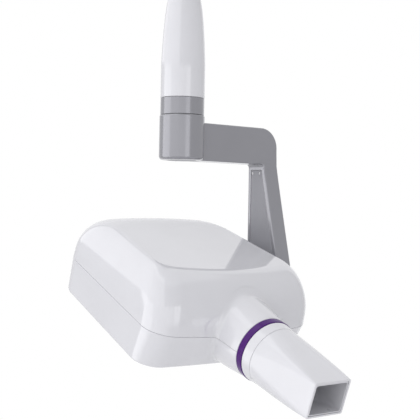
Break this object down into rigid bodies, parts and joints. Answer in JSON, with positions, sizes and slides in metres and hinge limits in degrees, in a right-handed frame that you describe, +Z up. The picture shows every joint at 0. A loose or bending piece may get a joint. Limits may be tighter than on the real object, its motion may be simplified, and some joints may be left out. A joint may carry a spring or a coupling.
{
  "type": "intraoral x-ray unit",
  "caption": "Dental x-ray tube head on a swivel yoke under an arm end, with a rectangular beam cone that tilts and turns.",
  "frame": {"origin": "centre of the flat top face of the mounting flange, on the vertical swivel axis", "axes": "+Z up along the swivel axis, +X towards the yoke plate along the tilt axis, -Y towards the cone at rest"},
  "size_m": [0.2639, 0.3935, 0.4785],
  "materials": {
    "white_plastic": "glossy moulded",
    "grey_paint": "satin",
    "grey_plastic": "fine moulded grain",
    "purple_plastic": "glossy",
    "liner_grey": "matt",
    "steel": "machined",
    "cast_aluminium": "as cast",
    "bronze": "sintered bronze",
    "brass": "machined",
    "copper": "copper, machined",
    "lead": "lead sheet, dull",
    "core_steel": "laminated steel",
    "varnished_winding": "varnished",
    "circuit_board": "solder mask",
    "nylon": "natural nylon",
    "friction_fibre": "pressed fibre",
    "black_rubber": "moulded",
    "cable_jacket": "matt",
    "tube_glass": "clear",
    "clear_plastic": "clear moulded"
  },
  "bodies": {
    "arm": {"mounting_flange": "steel", "arm_tube": "steel", "arm_sleeve": "white_plastic", "arm_collar": "grey_paint", "brake_screw": "steel", "upper_swivel_bush": "bronze", "lower_swivel_bush": "bronze", "thrust_washer": "nylon", "arm_cable": "cable_jacket"},
    "yoke": {"yoke_casting": "grey_paint", "yoke_cover": "grey_plastic", "yoke_cover_screw_1": "steel", "yoke_cover_screw_2": "steel", "yoke_cover_screw_3": "steel", "yoke_cover_screw_4": "steel", "swivel_spindle": "steel", "spindle_nut": "steel", "knuckle_cap": "grey_plastic", "inner_tilt_bush": "bronze", "outer_tilt_bush": "bronze", "pivot_cap": "grey_plastic", "yoke_cable": "cable_jacket"},
    "head": {"upper_shell": "white_plastic", "lower_shell": "white_plastic", "shell_screw_1": "steel", "shell_screw_2": "steel", "shell_screw_3": "steel", "shell_screw_4": "steel", "cone_socket": "cast_aluminium", "neck_ring": "purple_plastic", "tilt_shaft": "steel", "angle_dial": "white_plastic", "friction_disc": "friction_fibre", "cone_spring": "steel", "tilt_nut": "steel", "head_cable": "cable_jacket", "tank": "cast_aluminium", "tank_gasket": "black_rubber", "tank_cover": "cast_aluminium", "filler_plug": "brass", "beam_window": "clear_plastic", "aluminium_filter": "cast_aluminium", "lead_diaphragm": "lead", "tube_envelope": "tube_glass", "anode": "copper", "cathode": "steel", "transformer_core": "core_steel", "transformer_coil": "varnished_winding", "multiplier_board": "circuit_board", "filament_transformer": "varnished_winding", "expansion_bellows": "black_rubber", "control_board": "circuit_board"},
    "cone": {"cone_collar": "white_plastic", "cone_clip": "steel", "cone_shell": "white_plastic", "cone_liner": "liner_grey"}
  },
  "joints": [
    {"name": "swivel", "type": "hinge", "parent": "arm", "child": "yoke", "pos_m": [0, 0, -0.1607], "axis": [0, 0, 1], "range_deg": [-170, 170]},
    {"name": "tilt", "type": "hinge", "parent": "yoke", "child": "head", "pos_m": [0, -0.0187, -0.3727], "axis": [1, 0, 0], "range_deg": [-80, 70]},
    {"name": "cone_turn", "type": "hinge", "parent": "head", "child": "cone", "pos_m": [0, -0.16877, -0.42643], "axis": [0, -0.9415, -0.3371], "continuous": true}
  ]
}
